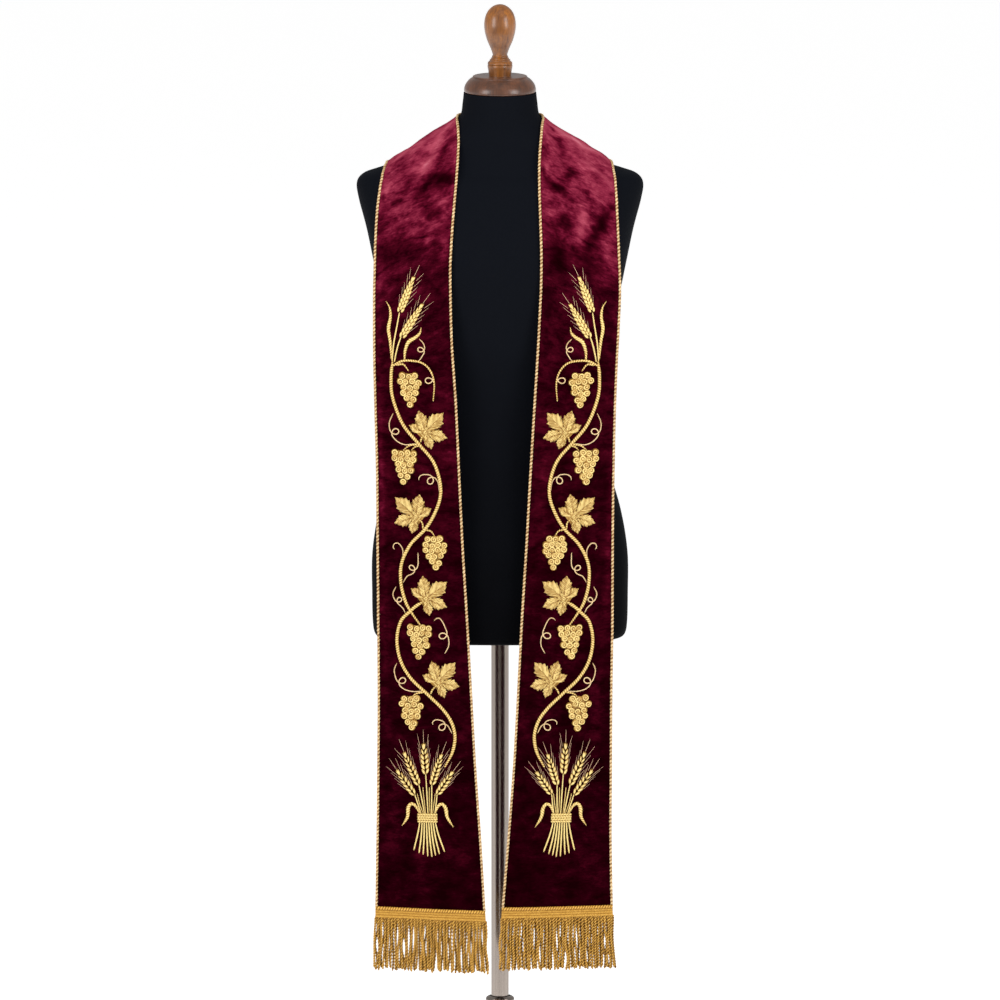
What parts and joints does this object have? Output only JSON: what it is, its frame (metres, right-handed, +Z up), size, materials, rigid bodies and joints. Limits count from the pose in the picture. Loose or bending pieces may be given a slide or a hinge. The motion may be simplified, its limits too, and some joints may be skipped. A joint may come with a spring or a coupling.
{
  "type": "clerical stole on dress form",
  "caption": "Long velvet stole with gold cord edges, hem braid and bullion fringe, draped round the neck of a limbless dress form on a height-adjustable round stand.",
  "frame": {"origin": "centre of the round base's underside, on the floor below the pole", "axes": "+Z up along the pole, -Y towards the front of the stole, +X to the right as seen from the front"},
  "size_m": [0.398, 0.32, 1.6],
  "materials": {
    "velvet": "burgundy crushed velvet",
    "gold_trim": "gold metallic thread, twisted and woven",
    "black_jersey": "black knitted jersey, matte",
    "turned_wood": "satin walnut stain",
    "brushed_steel": "brushed",
    "black_plastic": "matte"
  },
  "bodies": {
    "stand": {"base": "brushed_steel", "stand_tube": "brushed_steel", "stand_collar": "brushed_steel", "collar_bush": "black_plastic"},
    "form": {"pole": "brushed_steel", "torso": "black_jersey", "neck_cap": "turned_wood", "finial": "turned_wood", "panel_left": "velvet", "panel_right": "velvet", "cord_outer_left": "gold_trim", "cord_inner_left": "gold_trim", "cord_outer_right": "gold_trim", "cord_inner_right": "gold_trim", "braid_left": "gold_trim", "braid_right": "gold_trim", "fringe_left": "gold_trim", "fringe_right": "gold_trim"}
  },
  "joints": [
    {"name": "height_slide", "type": "slide", "parent": "stand", "child": "form", "axis": [0, 0, 1], "range_m": [-0.05, 0.09]}
  ]
}
